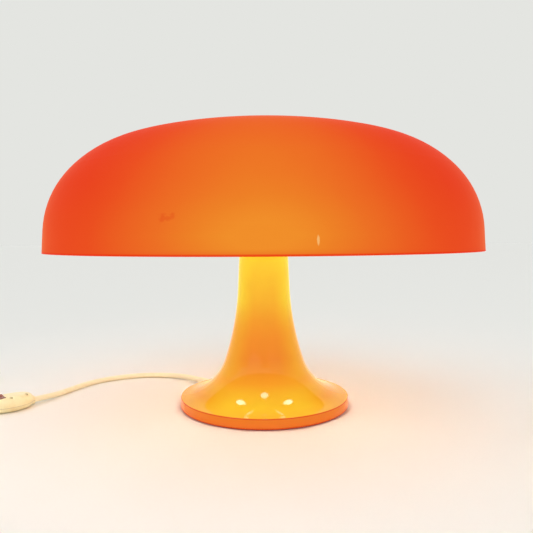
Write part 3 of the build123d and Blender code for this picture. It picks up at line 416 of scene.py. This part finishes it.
class Finish(Tree):
    """One material: its nodes, and the surface that they lead to."""

    def __init__(self, name, **plain):
        self.material = bpy.data.materials.new(name)
        self.material.use_nodes = True
        super().__init__(self.material.node_tree, "Principled BSDF")
        for socket, value in plain.items():
            self.goal.inputs[socket.replace("_", " ")].default_value = value

    def place(self):
        """The point on the surface, in the lamp's own frame."""
        return self.node("ShaderNodeTexCoord", {}, out="Object")

    def facing(self):
        """The way that the surface faces."""
        return self.node("ShaderNodeTexCoord", {}, out="Normal")

    def parts(self, vector):
        """A vector's three numbers."""
        return self.outputs("ShaderNodeSeparateXYZ", "XYZ", vector)

    def clouds(self, size, detail=3.0, roughness=0.55):
        """Soft variation whose patches are about that size."""
        return self.node(
            "ShaderNodeTexNoise",
            {"noise_dimensions": "3D"},
            Vector=self.place(),
            Scale=1.0 / size,
            Detail=detail,
            Roughness=roughness,
        )

    def ramp(self, value, stops):
        """A colour, or a plain value, read from stops along a value."""
        return self.node("ShaderNodeValToRGB", {"stops": stops}, value)

    def mix(self, factor, first, second, blend="MIX"):
        """Two colours mixed by a factor."""
        settings = {"data_type": "RGBA", "blend_type": blend}
        others = (None,) * 5  # the inputs of the node's other kinds of value
        pair = [(*c, 1.0) if isinstance(c, tuple) else c for c in (first, second)]
        return self.node("ShaderNodeMix", settings, factor, *others, *pair, out=2)

    def times(self, colour, share):
        """A colour with each channel brought to its share."""
        return self.mix(1.0, colour, share, "MULTIPLY")

    def uneven(self, base, more, size):
        """A value that rises from its base by up to so much more, in patches of that size."""
        return base + more * self.clouds(size)

    def relief(self, height, depth, strength):
        """Bumps on the surface, that deep."""
        return self.node("ShaderNodeBump", {}, Strength=strength, Distance=depth, Height=height)

    def grain(self, size, depth, strength, detail=3.0):
        """Bumps of that size."""
        return self.relief(self.clouds(size, detail), depth, strength)


# ---------------------------------------------------------------- finishes
def from_axis(x, y):
    """Distance from the lamp's upright axis, and never quite nothing."""
    return (x * x + y * y + 1e-6) ** 0.5


def spot(x, z, place, half):
    """How far a point lies from the middle of a mark, squared: 1 on the mark's edge."""
    across = (x - place[0]) / half[0]
    along = (z - place[1]) / half[1]
    return across * across + along * along


def lit_shade_plastic(glow):
    """Orange plastic with the bulbs behind it, brightest before each bulb and low down."""
    f = Finish("shade_plastic", Specular_IOR_Level=0.004, Emission_Strength=glow)
    x, y, z = f.parts(f.place())
    out = from_axis(x, y)
    lobes = SIDE_BULBS * (abs(x) / out) ** LOBE_POWER + (abs(y) / out) ** LOBE_POWER
    height = (z - DOME_BASE) / DOME_SPAN
    before_bulbs = f.ramp(
        height,
        levels(
            (0.00, 0.52),
            (0.05, 0.86),
            (0.12, 0.93),
            (0.22, 0.88),
            (0.34, 0.78),
            (0.47, 0.73),
            (0.60, 0.66),
            (0.76, 0.50),
            (0.88, 0.40),
            (1.00, 0.34),
        ),
    )
    between_bulbs = f.ramp(height, levels((0.0, 0.15), (0.25, 0.09), (0.45, 0.02), (0.80, 0.0)))
    crown = height.span(0.75, 1.0)
    mottle = f.clouds(size=0.035) - 0.5
    fine = f.clouds(size=0.004, detail=2.0) - 0.5
    lit = before_bulbs * (lobes * (1.0 - crown) + CROWN_LIGHT * crown)
    lit = lit + between_bulbs + 0.05 * mottle
    colour = f.ramp(
        lit,
        tones(
            (0.00, (237, 58, 26)),
            (0.10, (237, 69, 30)),
            (0.25, (239, 81, 32)),
            (0.45, (240, 100, 35)),
            (0.65, (241, 114, 37)),
            (0.85, (242, 131, 39)),
            (1.00, (245, 145, 43)),
        ),
    )
    # The inner face sees the bulbs themselves.
    nx, ny, nz = f.parts(f.facing())
    inward = (nx * x + ny * y + nz * (z - DOME_MIDDLE) * DOME_FLATNESS).span(0.0, -0.01)
    inner = f.ramp(
        height,
        tones(
            (0.00, (214, 132, 46)),
            (0.30, (226, 154, 60)),
            (0.80, (222, 142, 52)),
            (1.00, (212, 122, 44)),
        ),
    )
    colour = f.mix(inward, colour, inner)
    # Painted light: the rim's thick edge, where the bulbs' light passes through the most
    # plastic, is the deepest red.
    edge = (z - RIM_HEIGHT).span(*RIM_EDGE)
    colour = f.mix(edge * 0.85, colour, RIM_GLOW_RED)
    # One narrow pale nick low on the front, and a faint darker smudge further left.
    front = (FRONT_LIMIT - y).above(0.0)
    nick = spot(x + NICK_RAGGED * fine, z, NICK_PLACE, NICK_HALF).span(1.3, 0.3) * front
    speck = f.clouds(size=0.0075) - 0.5
    ragged_x = x + SMUDGE_RAGGED[0] * speck
    ragged_z = z + SMUDGE_RAGGED[1] * speck
    smudge = spot(ragged_x, ragged_z, SMUDGE_PLACE, SMUDGE_HALF).span(1.6, 0.0) * front
    colour = f.mix(smudge * SMUDGE_STRENGTH, colour, SMUDGE_RED)
    colour = f.mix(nick * NICK_STRENGTH, colour, NICK_CREAM)
    # Most of what the shade shows is its own light.
    f.feed(
        Base_Color=f.times(colour, f.mix(inward, SHADE_BY_STUDIO, INSIDE_BY_STUDIO)),
        Emission_Color=f.times(colour, f.mix(inward, SHADE_BY_ITSELF, INSIDE_BY_ITSELF)),
        Roughness=f.uneven(0.34, more=0.10, size=0.02),
        Normal=f.relief(fine, depth=0.00012, strength=0.25),
    )
    return f.material


def lit_column_plastic(glow):
    """The same plastic in the column and foot, lit from above and through its wall."""
    f = Finish("column_plastic", Specular_IOR_Level=0.18, Emission_Strength=glow)
    x, y, z = f.parts(f.place())
    up = z / COLUMN_SPAN
    column = f.ramp(
        up,
        tones(
            (0.083, (249, 200, 52)),
            (0.125, (247, 186, 50)),
            (0.167, (247, 164, 46)),
            (0.212, (244, 152, 43)),
            (0.283, (241, 138, 39)),
            (0.383, (243, 146, 41)),
            (0.483, (244, 161, 43)),
            (0.583, (246, 183, 48)),
            (0.687, (246, 195, 50)),
            (0.812, (250, 208, 54)),
            (0.950, (253, 216, 66)),
        ),
    )
    # Painted light and shade on the foot: its side is a deeper orange than its top, which the
    # bulbs light from above; a painted shadow darkens its lowest edge where it meets the table;
    # and a thin darker red line runs along the edge between side and top.
    foot = f.ramp(
        z / FOOT_SPAN,
        tones(
            (0.05, (140, 20, 6)),
            (0.11, (218, 76, 22)),
            (0.18, (240, 118, 37)),
            (0.60, (240, 128, 38)),
            (0.645, (222, 66, 20)),
            (0.668, (232, 92, 28)),
            (0.69, (248, 192, 56)),
            (0.86, (249, 200, 54)),
            (1.00, (249, 200, 52)),
        ),
    )
    colour = f.mix((z - FOOT_END).above(0.0), foot, column)
    out = from_axis(x, y)
    sideways = abs(x) / out
    # Painted shade: the foot's top is a deeper orange at its sides than in front.
    flank_shade = sideways.span(0.45, 0.95) * z.span(*FOOT_EDGE) * z.span(*FLANK_FADE)
    flank_shade_colour = f.mix(out.span(*RING_FADE), FLANK_SHADE_OUTER, FLANK_SHADE_INNER)
    colour = f.mix(flank_shade * 0.9, colour, flank_shade_colour)
    # Painted light: to the left and right, neck and flare glow more yellow than in front.
    side = sideways.span(0.30, 1.0)
    neck_light = side * up.span(0.36, 0.60) * up.span(1.0, 0.75)
    flare_light = side * up.span(0.14, 0.20) * up.span(0.60, 0.36)
    colour = f.mix(neck_light * 0.85, colour, NECK_LIGHT_YELLOW)
    colour = f.mix(flare_light * 0.80, colour, FLARE_LIGHT_YELLOW)
    mottle = f.clouds(size=0.03)
    fine = f.clouds(size=0.003, detail=2.0)
    scuffs = f.clouds(size=1.0 / SCUFFS_TO_A_METRE, detail=5.0, roughness=0.7)
    scuffs = scuffs.span(0.60, 0.72)
    colour = f.mix((mottle - 0.45) * 0.35, colour, MOTTLE_ORANGE)
    f.feed(
        Base_Color=f.times(colour, COLUMN_BY_STUDIO),
        Emission_Color=f.times(colour, COLUMN_BY_ITSELF),
        Roughness=0.045 + 0.03 * mottle + 0.10 * scuffs,
        Normal=f.relief(fine, depth=0.00006, strength=0.2),
    )
    return f.material


def moulded(name, colour, roughness):
    """Plain moulded plastic: a little uneven in colour and gloss, with a fine grain."""
    f = Finish(name)
    shade, light = scaled(colour, *grey(0.90)), scaled(colour, *grey(1.05))
    f.feed(
        Base_Color=f.mix(f.clouds(size=0.012), shade, light),
        Roughness=f.uneven(roughness - 0.05, more=0.10, size=0.006),
        Normal=f.grain(size=0.0004, depth=0.00002, strength=0.4, detail=2.0),
    )
    return f.material


def cord_sheath(colour):
    """Flexible cream sheath, a little dull from handling."""
    f = Finish("cord_sheath", Specular_IOR_Level=0.4)
    grime = f.clouds(size=0.02, detail=4.0).span(0.45, 0.8)
    f.feed(
        Base_Color=f.mix(grime * 0.6, colour, scaled(colour, 0.90, 0.84, 0.72)),
        Roughness=f.uneven(0.42, more=0.16, size=0.004),
        Normal=f.grain(size=0.0012, depth=0.00006, strength=0.5),
    )
    return f.material


def switch_shell(colour):
    """Cream shells of the switch, yellowed by age, with dirt along their parting line."""
    f = Finish("switch_shell", Coat_Weight=0.15, Coat_Roughness=0.25)
    z = f.parts(f.place())[2]
    aged = f.clouds(size=0.010, detail=4.0).span(0.4, 0.75)
    body = f.mix(aged * 0.7, colour, scaled(colour, 0.93, 0.85, 0.70))
    dirt = abs(z - SWITCH_PARTING).span(0.0005, 0.0001)
    f.feed(
        Base_Color=f.mix(dirt * 0.35, body, linear(128, 84, 44)),
        Roughness=f.uneven(0.30, more=0.16, size=0.003),
        Normal=f.grain(size=0.0008, depth=0.00003, strength=0.5),
    )
    return f.material


def bare_metal(name, colour, roughness):
    """Turned, plated or cast metal, with fine marks."""
    f = Finish(name, Metallic=1.0)
    dull = f.clouds(size=0.008)
    f.feed(
        Base_Color=f.mix(dull * 0.6, colour, scaled(colour, *grey(0.72))),
        Roughness=roughness + 0.16 * dull - 0.05,
        Normal=f.grain(size=0.0010, depth=0.00003, strength=0.4, detail=4.0),
    )
    return f.material


def cast_ballast():
    """Rough grey casting."""
    f = Finish("cast_ballast", Metallic=0.8)
    patches = f.clouds(size=0.010, detail=5.0)
    f.feed(
        Base_Color=f.mix(patches, linear(58, 56, 55), linear(104, 98, 92)),
        Roughness=f.uneven(0.55, more=0.25, size=0.004),
        Normal=f.grain(size=0.0018, depth=0.0004, strength=0.8, detail=5.0),
    )
    return f.material


def painted_plate():
    """Pale paint with a slight orange peel and a few chips."""
    f = Finish("painted_plate")
    peel = f.clouds(size=0.0022, detail=2.0)
    chips = f.clouds(size=0.009, detail=6.0).span(0.70, 0.76)
    f.feed(
        Base_Color=f.mix(chips, linear(214, 208, 196), linear(126, 122, 116)),
        Roughness=0.38 + 0.12 * peel + 0.2 * chips,
        Normal=f.relief(peel, depth=0.00008, strength=0.5),
    )
    return f.material


def rubber_pad():
    """Dull black rubber."""
    f = Finish("rubber_pad", Specular_IOR_Level=0.3)
    f.feed(
        Base_Color=f.mix(f.clouds(size=0.006), linear(28, 27, 26), linear(62, 58, 54)),
        Roughness=f.uneven(0.74, more=0.16, size=0.004),
        Normal=f.grain(size=0.0009, depth=0.0001, strength=0.6),
    )
    return f.material


def lit_bulb_glass(light, strength):
    """Frosted glass that hides its filament: brightest in the middle of the ball."""
    f = Finish("bulb_glass", Emission_Strength=strength, Coat_Weight=0.4, Coat_Roughness=0.12)
    x, y, _ = f.parts(f.place())
    ball = from_axis(x, y).span(*BALL_FADE)
    frost = f.clouds(size=0.01)
    f.feed(
        Base_Color=f.mix(frost, linear(250, 244, 232), linear(240, 230, 212)),
        Emission_Color=f.mix(ball, scaled(light, 0.80, 0.62, 0.40), light),
        Roughness=f.uneven(0.40, more=0.10, size=0.002),
        Normal=f.grain(size=0.0006, depth=0.00003, strength=0.4, detail=2.0),
    )
    return f.material


def table_paint(colour):
    """Matt pale table top with the finest specks."""
    f = Finish("table_top", Specular_IOR_Level=0.12)
    specks = f.clouds(size=0.0025)
    f.feed(
        Base_Color=f.mix(specks, scaled(colour, *grey(0.97)), colour),
        Roughness=0.72 + 0.12 * specks,
        Normal=f.relief(specks, depth=0.0003, strength=0.25),
    )
    return f.material


def wear(material, *names):
    """Give a finish to parts that keep their own form."""
    for name in names:
        part = NODES[name]
        part.data.materials.clear()
        part.data.materials.append(material)


def smooth(*names):
    """Round faces shade smoothly, and edges stay crisp."""
    for name in names:
        mesh = NODES[name].data
        mesh.shade_smooth()
        mesh.set_sharp_from_angle(angle=math.radians(CREASE_ANGLE))


# ---------------------------------------------------------------- the cord
def coil_route():
    """Points of the put-away coil: in on the table, up in half a turn, and out again on top."""
    step = 2 * math.pi / POINTS_TO_A_TURN
    # The line runs inside its points, so they stand further out: at a point it takes three
    # quarters of that point and an eighth of each neighbour.
    outset = 1 / (0.75 + 0.25 * math.cos(step))

    def point(centre, radius, angle, lift=0.0):
        reach = radius * outset
        return centre + Vector((reach * math.cos(angle), reach * math.sin(angle), lift))

    shrink = COIL_PITCH / POINTS_TO_A_TURN
    inner = COIL_OUTER - shrink * POINTS_TO_A_LAYER
    points = [
        point(LOWER_CENTRE, COIL_OUTER - shrink * n, COIL_START - step * n)
        for n in range(POINTS_TO_A_LAYER + 1)
    ]
    angle = COIL_START - step * POINTS_TO_A_LAYER
    half = POINTS_TO_A_TURN // 2
    rise = UPPER_CENTRE.z - LOWER_CENTRE.z
    for n in range(1, half + 1):
        lift = rise * (1 - math.cos(math.pi * n / half)) / 2
        points.append(point(CLIMB_CENTRE, CLIMB_RADIUS, angle - step * n, lift))
    angle -= math.pi
    points += [
        point(UPPER_CENTRE, inner + shrink * n, angle - step * n)
        for n in range(1, POINTS_TO_A_LAYER + 1)
    ]
    return [tuple(p) for p in points]


def cord_piece(name, route, radius, material):
    """A length of cord on one smooth line."""
    curve = bpy.data.curves.new(name, "CURVE")
    curve.dimensions = "3D"
    spline = curve.splines.new("NURBS")
    spline.points.add(len(route) - 1)
    for point, place in zip(spline.points, route):
        point.co = (*place, 1.0)
    spline.order_u = 3
    spline.use_endpoint_u = True
    spline.resolution_u = CORD_ALONG
    curve.bevel_depth = radius
    curve.bevel_resolution = CORD_AROUND
    curve.use_fill_caps = True
    curve.materials.append(material)
    piece = bpy.data.objects.new(name, curve)
    bpy.context.scene.collection.objects.link(piece)
    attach(piece, "lamp")
    return piece


# ---------------------------------------------------------------- operators
class LAMP_OT_shade(bpy.types.Operator):
    """Finish the domed shade and the collar under its crown"""

    bl_idname = "lamp.shade"
    bl_label = "Shade"

    def execute(self, context):
        sizes = context.scene.lamp_sizes
        smooth("shade", "shade_collar")
        wear(lit_shade_plastic(sizes.glow), "shade", "shade_collar")
        return {"FINISHED"}


class LAMP_OT_column(bpy.types.Operator):
    """Finish the column and its foot"""

    bl_idname = "lamp.column"
    bl_label = "Column and Foot"

    def execute(self, context):
        sizes = context.scene.lamp_sizes
        smooth("column")
        wear(lit_column_plastic(sizes.glow), "column")
        return {"FINISHED"}


class LAMP_OT_bulbs(bpy.types.Operator):
    """Finish the four bulbs"""

    bl_idname = "lamp.bulbs"
    bl_label = "Bulbs"

    def execute(self, context):
        sizes, colours = context.scene.lamp_sizes, context.scene.lamp_colours
        glass = [f"bulb_glass_{side}" for side in BULB_SIDES]
        caps = [f"bulb_cap_{side}" for side in BULB_SIDES]
        smooth(*glass, *caps, "bulb_insulators", "bulb_tips")
        wear(lit_bulb_glass(tuple(colours.bulb), sizes.bulb_glow), *glass)
        wear(bare_metal("bulb_cap_metal", linear(214, 212, 204), 0.28), *caps)
        wear(moulded("vitrified_insulator", linear(30, 26, 30), 0.18), "bulb_insulators")
        wear(bare_metal("solder_tip", linear(196, 192, 186), 0.35), "bulb_tips")
        return {"FINISHED"}


class LAMP_OT_hub(bpy.types.Operator):
    """Finish the hub, its lampholders and its wiring"""

    bl_idname = "lamp.hub"
    bl_label = "Hub and Wiring"

    def execute(self, context):
        colours = context.scene.lamp_colours
        mouldings = ["hub_body", "hub_cap", "holder_nuts", "hub_connector"]
        mouldings += ["terminal_block", "cord_clamp"]
        mouldings += [f"lampholder_{side}" for side in BULB_SIDES]
        contacts = ["holder_contacts", "terminal_screws"]
        wires = ["harness", "holder_leads"]
        smooth(*mouldings, "hub_screws", *contacts, *wires)
        wear(moulded("fitting_plastic", tuple(colours.fittings), 0.40), *mouldings)
        wear(bare_metal("fitting_brass", BRASS, 0.30), *contacts)
        wear(moulded("wire_sleeve", linear(118, 70, 40), 0.42), *wires)
        return {"FINISHED"}


class LAMP_OT_base(bpy.types.Operator):
    """Finish the base plate, pad, ballast, tie tube and screws"""

    bl_idname = "lamp.base"
    bl_label = "Base"

    def execute(self, context):
        steel = ["tie_tube", "tie_lower_nut", "tie_upper_nut", "tie_washers", "hub_screws"]
        steel += ["base_screws", "ballast_screws", "clamp_screws"]
        smooth("base_plate", "base_pad", "ballast", *steel)
        wear(painted_plate(), "base_plate")
        wear(rubber_pad(), "base_pad")
        wear(cast_ballast(), "ballast")
        wear(bare_metal("zinc_plate", linear(196, 198, 200), 0.34), *steel)
        return {"FINISHED"}


class LAMP_OT_cord(bpy.types.Operator):
    """Lay the cord: foot to switch, then switch to coil and plug"""

    bl_idname = "lamp.cord"
    bl_label = "Cord"

    def execute(self, context):
        sizes, colours = context.scene.lamp_sizes, context.scene.lamp_colours
        sheath = cord_sheath(tuple(colours.cord))
        smooth("cord_gland", "cord_stub", "coil_tie")
        wear(sheath, "cord_gland", "cord_stub")
        wear(moulded("tie_strip", linear(222, 216, 200), 0.45), "coil_tie")
        lead = cord_piece("lead", LEAD_ROUTE, sizes.cord_radius, sheath)
        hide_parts("cord_lead")
        supply_route = (*TAIL_ROUTE, *coil_route(), *PLUG_ROUTE)
        supply = cord_piece("supply", supply_route, sizes.cord_radius, sheath)
        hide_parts("cord_tail", "cord_coil", "cord_end")
        switch = ["switch_lower", "switch_upper", "switch_rocker", "rocker_pin"]
        switch += ["switch_screws", "switch_contacts"]
        return {"FINISHED"}


class LAMP_OT_switch(bpy.types.Operator):
    """Finish the inline switch"""

    bl_idname = "lamp.switch"
    bl_label = "Inline Switch"

    def execute(self, context):
        colours = context.scene.lamp_colours
        smooth("switch_lower", "switch_upper", "switch_rocker", "rocker_pin", "switch_screws")
        wear(switch_shell(tuple(colours.switch)), "switch_lower", "switch_upper")
        wear(moulded("rocker_plastic", tuple(colours.rocker), 0.28), "switch_rocker")
        wear(bare_metal("switch_steel", linear(58, 36, 24), 0.50), "rocker_pin", "switch_screws")
        wear(bare_metal("contact_brass", BRASS, 0.32), "switch_contacts")
        return {"FINISHED"}


class LAMP_OT_plug(bpy.types.Operator):
    """Finish the plug"""

    bl_idname = "lamp.plug"
    bl_label = "Plug"

    def execute(self, context):
        colours = context.scene.lamp_colours
        smooth("plug_body", "plug_relief", "plug_pins")
        wear(moulded("plug_shell", tuple(colours.switch), 0.36), "plug_body", "plug_relief")
        wear(bare_metal("plug_pin_metal", linear(214, 210, 200), 0.24), "plug_pins")
        return {"FINISHED"}


class LAMP_OT_stage(bpy.types.Operator):
    """Set the table, the studio's light and the camera"""

    bl_idname = "lamp.stage"
    bl_label = "Stage"

    def execute(self, context):
        sizes, colours = context.scene.lamp_sizes, context.scene.lamp_colours
        scene = context.scene
        self.table(scene, tuple(colours.table))
        self.world(scene)
        self.key_light(scene)
        self.fill_light(scene)
        self.camera(scene, sizes)
        scene.view_settings.view_transform = "Standard"
        return {"FINISHED"}

    def table(self, scene, colour):
        """A level table top, wide enough to reach the horizon."""
        form = bmesh.new()
        corners = ((-1, -1), (1, -1), (1, 1), (-1, 1))
        form.faces.new([form.verts.new((x * TABLE_HALF, y * TABLE_HALF, 0)) for x, y in corners])
        mesh = bpy.data.meshes.new("table")
        form.to_mesh(mesh)
        form.free()
        mesh.materials.append(table_paint(colour))
        table = bpy.data.objects.new("table", mesh)
        scene.collection.objects.link(table)

    def world(self, scene):
        """Even light all round, and a pale backdrop that looks the same from every side."""
        world = bpy.data.worlds.new("studio")
        world.use_nodes = True
        scene.world = world
        nodes = world.node_tree.nodes
        nodes.remove(nodes["Background"])
        sky = Tree(world.node_tree, "World Output")
        tint = (*STUDIO_TINT, 1.0)
        light = sky.node("ShaderNodeBackground", {}, Color=tint, Strength=STUDIO_STRENGTH)
        backdrop = sky.node("ShaderNodeBackground", {}, Color=(*BACKDROP, 1.0), Strength=1.0)
        # The backdrop shows to the camera, and in gloss and glass as well.
        rays = ("Is Camera Ray", "Is Glossy Ray", "Is Transmission Ray")
        camera, gloss, glass = sky.outputs("ShaderNodeLightPath", rays)
        seen = camera.larger(gloss).larger(glass)
        sky.feed(Surface=sky.node("ShaderNodeMixShader", {}, seen, light, backdrop))

    def key_light(self, scene):
        """Broad soft light from above, the same over the whole table."""
        light = bpy.data.lights.new("key_light", "SUN")
        light.energy = KEY_STRENGTH
        light.angle = KEY_SPREAD
        light.color = KEY_TINT
        self.hang(scene, light, KEY_PLACE, KEY_AIM)

    def fill_light(self, scene):
        """A weak soft light from the front right."""
        light = bpy.data.lights.new("fill_light", "AREA")
        light.shape = "SQUARE"
        light.size = FILL_SIZE
        light.energy = FILL_POWER
        light.color = FILL_TINT
        self.hang(scene, light, FILL_PLACE, FILL_AIM)

    def hang(self, scene, light, place, aim):
        """Put a light at its place and turn it to what it lights."""
        hung = bpy.data.objects.new(light.name, light)
        hung.location = place
        beam = Vector(aim) - Vector(place)
        hung.rotation_euler = beam.to_track_quat("-Z", "Y").to_euler()
        scene.collection.objects.link(hung)

    def camera(self, scene, sizes):
        """The photograph's angle and framing."""
        lens = bpy.data.cameras.new("camera")
        lens.lens = sizes.lens
        lens.sensor_width = SENSOR_WIDTH
        lens.shift_x = CAMERA_SHIFT
        lens.clip_start = CAMERA_NEAR
        camera = bpy.data.objects.new("camera", lens)
        aim = Matrix.Rotation(math.pi / 2 - sizes.camera_tilt, 4, "X")
        lean = Matrix.Rotation(-sizes.camera_roll, 4, "Z")
        place = Matrix.Translation((0.0, -sizes.camera_distance, sizes.camera_height))
        camera.matrix_world = place @ aim @ lean
        scene.collection.objects.link(camera)
        scene.camera = camera


class LAMP_PT_panel(bpy.types.Panel):
    """The lamp's pieces, in the order in which they are made"""

    bl_idname = "LAMP_PT_panel"
    bl_label = "Mushroom Lamp"
    bl_space_type = "VIEW_3D"
    bl_region_type = "UI"
    bl_category = "Lamp"

    def draw(self, context):
        layout = self.layout
        for group in (context.scene.lamp_sizes, context.scene.lamp_colours):
            box = layout.box()
            for name in group.__annotations__:
                box.prop(group, name)
        for operator in OPERATORS:
            layout.operator(operator.bl_idname)


OPERATORS = (
    LAMP_OT_stage,
    LAMP_OT_shade,
    LAMP_OT_column,
    LAMP_OT_bulbs,
    LAMP_OT_hub,
    LAMP_OT_base,
    LAMP_OT_cord,
    LAMP_OT_switch,
    LAMP_OT_plug,
)
CLASSES = (LampSizes, LampColours, *OPERATORS, LAMP_PT_panel)


def register():
    for kind in CLASSES:
        bpy.utils.register_class(kind)
    bpy.types.Scene.lamp_sizes = PointerProperty(type=LampSizes)
    bpy.types.Scene.lamp_colours = PointerProperty(type=LampColours)


def unregister():
    del bpy.types.Scene.lamp_colours
    del bpy.types.Scene.lamp_sizes
    for kind in reversed(CLASSES):
        bpy.utils.unregister_class(kind)


def main():
    register()
    bpy.ops.lamp.stage()
    bpy.ops.lamp.shade()
    bpy.ops.lamp.column()
    bpy.ops.lamp.bulbs()
    bpy.ops.lamp.hub()
    bpy.ops.lamp.base()
    bpy.ops.lamp.cord()
    bpy.ops.lamp.switch()
    bpy.ops.lamp.plug()


if __name__ == "__main__":
    main()
